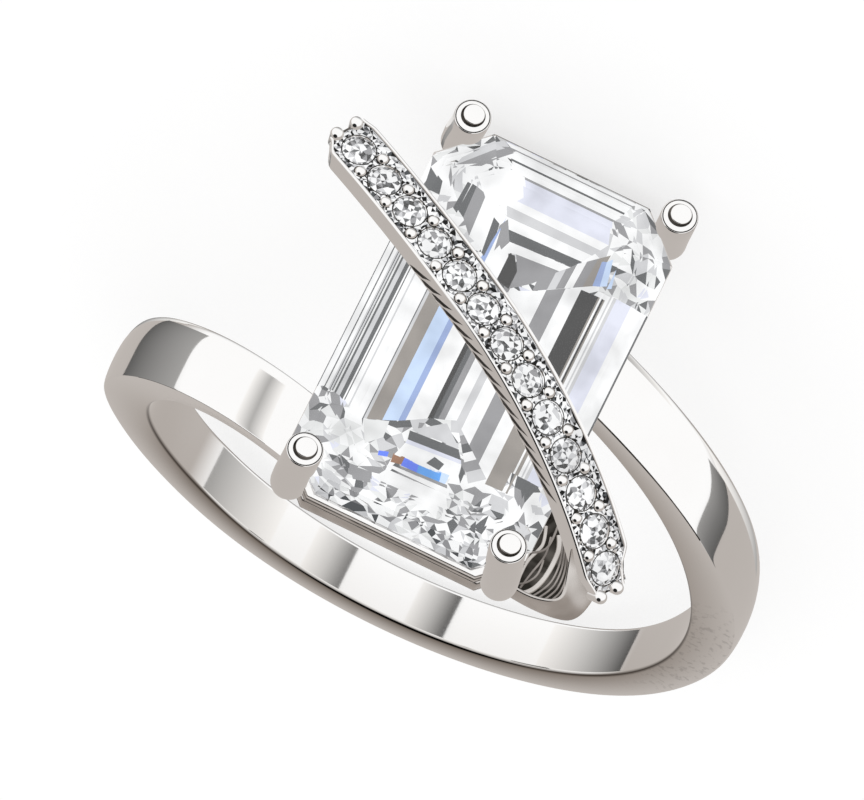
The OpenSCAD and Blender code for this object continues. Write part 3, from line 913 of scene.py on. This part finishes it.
back_left_panes = (
    ("slate", ((-2.41, 4.37), (-2.27, 4.36), (-2.22, 3.3), (-2.46, 3.44))),
    ("grey", ((-2.27, 4.36), (-1.92, 4.28), (-1.83, 2.87), (-2.22, 3.3))),
    ("white", ((-1.92, 4.28), (-1.55, 4.21), (-1.39, 2.73), (-1.83, 2.87))),
    ("slate", ((-1.43, 3.76), (-1.2, 3.65), (-1.01, 2.42), (-1.3, 2.6))),
    ("white", ((-1.55, 4.21), (-1.1, 3.93), (-1.2, 3.65), (-1.43, 3.76), (-1.3, 2.6), (-1.39, 2.73))),
    ("grey", ((-1.18, 3.61), (-1.04, 3.89), (-0.71, 3.29), (-0.89, 2.79), (-0.83, 2.41), (-0.98, 2.44))),
    ("pale", ((-2.16, 6.02), (-1.93, 5.83), (-2.24, 5.47), (-2.96, 4.58), (-2.92, 4.9))),
    ("grey", ((-1.93, 5.83), (-1.71, 5.74), (-2.31, 4.91), (-2.96, 4.58), (-2.24, 5.47))),
    ("white", ((-2.31, 4.61), (-1.72, 5.17), (-1.14, 5.12), (-0.91, 4.67), (-1.27, 4.18), (-1.87, 4.1))))
top_panes = (
    ("pearl", ((-2.2, -3.7), (-1.5, -3.38), (-1.45, -3.9), (-1.85, -4.35))),
    ("slate", ((0.12, -3.76), (0.46, -3.84), (0.4, -4.1), (-0.02, -4.06))),
    ("slate", ((0.92, -3.62), (1.1, -3.8), (1.12, -4.18), (0.98, -3.98))),
    ("white", ((-0.3, 1.75), (0.2, 2.1), (0.62, 2.3), (0.86, 2.0), (0.86, 1.0), (0.5, 0.6))),
    ("sky", ((2.0, 3.13), (2.2, 3.2), (2.07, 4.0), (1.94, 3.95))),
    ("ice", ((2.2, 3.2), (2.38, 3.3), (2.2, 4.15), (2.07, 4.0))))
for lift, group in ((0.11, end_panes), (0.11, back_panes), (0.13, back_left_panes), (0.14, top_panes)):
    for tone, places in group:
        pane(tone, places, lift)
lay_panes("stone_panes", pane_points, pane_faces, pane_list)

# Graver cuts: the bar's floor between the small stones is cut bright with a graver.
# The cuts are a crust of tiny flat facets in the white gold, whose light and dark tones, set by chance, are
# painted reflections and painted shade.
# Tones of painted reflections and painted shade, for the cuts and the small stones
glint_and_shade_tones = ["white", "pale", "grey", "slate", "dark"]
cut_grid = 0.1
cut_jitter = 0.42
cut_rows = 15
cut_left = -0.63
cut_right = 0.84
cut_spots = []
for i in range(int((bar_finish - bar_start) / cut_grid)):
    for j in range(cut_rows):
        cut_spots.append(Vector((
            bar_start + cut_grid + (i + chance.uniform(-cut_jitter, cut_jitter)) * cut_grid,
            cut_left + (j + chance.uniform(-cut_jitter, cut_jitter)) * cut_grid)))
found = geometry.delaunay_2d_cdt(cut_spots, [], [], 0, 1e-5)
cut_points = [on_bar(t, min(side, cut_right - 0.25 * right_step(t)), -0.035 + chance.uniform(-0.015, 0.02))
              for t, side in found[0]]
cut_faces = []
cut_list = []
for face in found[2]:
    t = sum(found[0][v].x for v in face) / 3
    side = sum(found[0][v].y for v in face) / 3
    nearest = first_stone + pitch * min(small_stones - 1, max(0, round((t - first_stone) / pitch)))
    inside = side > cut_left + 0.3 * start_taper(t) + 0.2 * finish_taper(t) and t < bar_finish - 0.05
    if inside and math.hypot(t - nearest, side) > 0.5:
        cut_faces.append(tuple(face))
        cut_list.append(chance.choice(glint_and_shade_tones, p=[0.42, 0.12, 0.12, 0.14, 0.2]))
lay_panes("bar_cuts", cut_points, cut_faces, cut_list)

# Light in the small stones: each round brilliant throws back a star of light and dark patches.
# Small panes under its crown stand for them, with a dark ring of painted shade where the stone meets its
# seat.
star_rings = ((0.13, 8, 0), (0.25, 8, 0.5), (0.37, 16, 0), (0.47, 16, 0.5), (0.53, 16, 0))
star_points = []
star_faces = []
star_list = []
for i in range(small_stones):
    t = first_stone + i * pitch
    start = len(star_points)
    spots = [Vector((0.03, 0.02))]
    for r, count, shift in star_rings:
        for k in range(count):
            turn = 2 * math.pi * (k + shift) / count + 0.3 * i
            wide = r + chance.uniform(-0.02, 0.02) * (r < 0.5)
            spots.append(Vector((wide * math.cos(turn), wide * math.sin(turn))))
    found = geometry.delaunay_2d_cdt(spots, [], [], 0, 1e-5)
    for x, y in found[0]:
        star_points.append(on_bar(t + x, y, -0.08 - 0.1 * math.hypot(x, y) + chance.uniform(-0.015, 0.015)))
    for face in found[2]:
        star_faces.append(tuple(start + v for v in face))
        star_list.append(chance.choice(glint_and_shade_tones, p=[0.5, 0.15, 0.13, 0.11, 0.11]))
    star_faces += loft(2, seat_steps, len(star_points))
    # Painted shade: a dark ring where the stone meets its seat
    star_list += ["slate"] * seat_steps
    for r in (0.497, 0.47):
        star_points += round_on_bar(t, 0, -0.085, r, seat_steps)
lay_panes("small_stone_panes", star_points, star_faces, star_list)

# Floor: a plain pale sheet under the ring, lit a little from within.
# The camera sees it, but neither reflections nor the clear stones do.
bpy.ops.mesh.primitive_plane_add(size=6, location=(0, 0, 0))
floor = bpy.context.object
floor.name = "floor"
floor_material = bpy.data.materials.new("floor")
floor_material.use_nodes = True
shade(floor_material, {"Base Color": (0.32, 0.32, 0.32, 1), "Emission Color": (1, 1, 1, 1),
                       "Emission Strength": 0.68, "Roughness": 0.9, "Specular IOR Level": 0})
floor.data.materials.append(floor_material)
floor.visible_glossy = False
floor.visible_transmission = False

# Studio boards: grey cards round the ring, which only reflections see.
# Each stands where one part of the band mirrors it to the camera, and its tone runs in three shades.
board_material = bpy.data.materials.new("board")
board_material.use_nodes = True
board_tree = board_material.node_tree
board_tone = node(board_tree, "ShaderNodeAttribute", {}, attribute_name="tone")
board_light = node(board_tree, "ShaderNodeEmission", {"Color": board_tone["Color"]})
fill(board_tree, board_tree.nodes["Material Output"], {"Surface": board_light["Emission"]})
board_material.cycles.emission_sampling = "NONE"
board_steps = 12
board_wall = 1.45
looking = (laid.to_3x3().transposed() @ camera_back).normalized()
for name, inside, first, last, board_shades, reach, height in (
        ("board_left_dark", False, -128.5, -111, (0.42, 0.27, 0.12), 7, 3.4),
        ("board_left_grey", False, -149.5, -143.5, (1.1, 0.5, 1.1), 7, 2.6),
        ("board_right_dark", False, 124, 131, (0.12, 0.22, 0.36), 7, 3.4),
        ("board_inner_right", True, 34, 57, (1.1, 0.6, 0.1), 22, 2.5),
        ("board_inner_left", True, -47.5, -27, (0.42, 0.75, 1.1), 22, 2.5),
        ("board_inner_one", True, -19, -10, (1.1, 0.72, 0.2), 22, 2.5),
        ("board_inner_two", True, 4.5, 13, (1.05, 0.6, 0.08), 22, 2.5)):
    points = []
    tones = []
    for i in range(board_steps + 1):
        share = i / board_steps
        a = first + (last - first) * share
        out = Vector((math.sin(math.radians(a)), 0, -math.cos(math.radians(a))))
        radius = finger_r if inside else finger_r + board_wall
        normal = -out if inside else out
        bounce = 2 * normal.dot(looking) * normal - looking
        at = Vector((finger_x, swing(a) - band_forward, 0)) + out * radius + bounce * reach
        points += [laid @ (at + Vector((0, way * height, 0))) for way in (-1, 1)]
        tones += [float(np.interp(share, (0, 0.5, 1), board_shades))] * 2
    mesh = bpy.data.meshes.new(name)
    mesh.from_pydata(points, [], [(2 * i, 2 * i + 1, 2 * i + 3, 2 * i + 2) for i in range(board_steps)])
    spots = mesh.color_attributes.new("tone", "FLOAT_COLOR", "POINT").data
    for spot, tone in zip(spots, tones):
        spot.color = (tone, tone * 0.985, tone * 0.965, 1)
    mesh.materials.append(board_material)
    board = bpy.data.objects.new(name, mesh)
    scene.collection.objects.link(board)
    board.visible_camera = False
    board.visible_diffuse = False
    board.visible_transmission = False
    board.visible_shadow = False

# Studio: a white tent, brown grey behind the ring, darker low down and dark straight overhead.
# The clear stones look into a clouded tent of their own, and the floor and the camera into an even one.
world = bpy.data.worlds.new("studio")
scene.world = world
world.use_nodes = True
tent = world.node_tree
tent_place = node(tent, "ShaderNodeTexCoord", {})
tent_way = node(tent, "ShaderNodeSeparateXYZ", {"Vector": tent_place["Generated"]})
tent_minus = node(tent, "ShaderNodeMath", {0: tent_way["Y"], 1: -1}, operation="MULTIPLY")
tent_turn = node(tent, "ShaderNodeMath", {0: tent_way["X"], 1: tent_minus["Value"]},
                 operation="ARCTAN2")
tent_share = node(tent, "ShaderNodeMapRange", {
    "Value": tent_turn["Value"], "From Min": -math.pi, "From Max": math.pi})
brown_grey = (0.56, 0.52, 0.49)
bright = (1.14, 1.14, 1.14)
tent_stops = ((-180, brown_grey), (-98, brown_grey), (-84, bright), (92, bright), (112, brown_grey),
              (180, brown_grey))
tent_round = ramp(tent, tent_share["Result"], [((a + 180) / 360, colour) for a, colour in tent_stops])
tent_low = node(tent, "ShaderNodeMapRange", {
    "Value": tent_way["Z"], "From Min": -0.98, "From Max": -0.72, "To Min": 0.45})
tent_dim = node(tent, "ShaderNodeVectorMath", {
    0: tent_round["Color"], "Scale": tent_low["Result"]}, operation="SCALE")
overhead_dot = node(tent, "ShaderNodeVectorMath", {
    0: tent_place["Generated"], 1: (0.12, 0.0, 0.993)}, operation="DOT_PRODUCT")
overhead = node(tent, "ShaderNodeMapRange", {
    "Value": overhead_dot["Value"], "From Min": 0.80, "From Max": 0.86})
mix_share = 0
mix_from = 6
mix_to = 7
mixed = 2
tent_metal = node(tent, "ShaderNodeMix", {
    mix_share: overhead["Result"], mix_from: tent_dim["Vector"],
    mix_to: (0.02, 0.02, 0.02, 1)}, data_type="RGBA")
metal_light = tent.nodes["Background"]
fill(tent, metal_light, {"Color": tent_metal[mixed]})

stone_move = node(tent, "ShaderNodeMapping", {
    "Vector": tent_place["Generated"], "Location": (1.3, 4.7, 2.2)})
stone_cloud = node(tent, "ShaderNodeTexNoise", {
    "Vector": stone_move["Vector"], "Scale": 3.2, "Detail": 2})
stone_tones = ramp(tent, stone_cloud["Fac"], (
    (0.3, (0.45, 0.45, 0.46)), (0.36, (0.8, 0.8, 0.81)), (0.42, (1.12, 1.12, 1.12)), (0.62, (1.2, 1.2, 1.2))))
stone_light = node(tent, "ShaderNodeBackground", {"Color": stone_tones["Color"]})
even_light = node(tent, "ShaderNodeBackground", {"Color": (1, 1, 1, 1), "Strength": 1.12})
path = node(tent, "ShaderNodeLightPath", {})
stone_mix = node(tent, "ShaderNodeMixShader", {
    "Fac": path["Is Transmission Ray"], 1: metal_light.outputs["Background"],
    2: stone_light["Background"]})
plain = node(tent, "ShaderNodeMath", {
    0: path["Is Diffuse Ray"], 1: path["Is Camera Ray"]}, operation="MAXIMUM")
tent_mix = node(tent, "ShaderNodeMixShader", {
    "Fac": plain["Value"], 1: stone_mix["Shader"], 2: even_light["Background"]})
fill(tent, tent.nodes["World Output"], {"Surface": tent_mix["Shader"]})

# Light has to cross many facets inside the stones, and the tones are shown as they are
scene.cycles.max_bounces = 24
scene.cycles.transmission_bounces = 20
scene.cycles.glossy_bounces = 8
scene.view_settings.view_transform = "Standard"
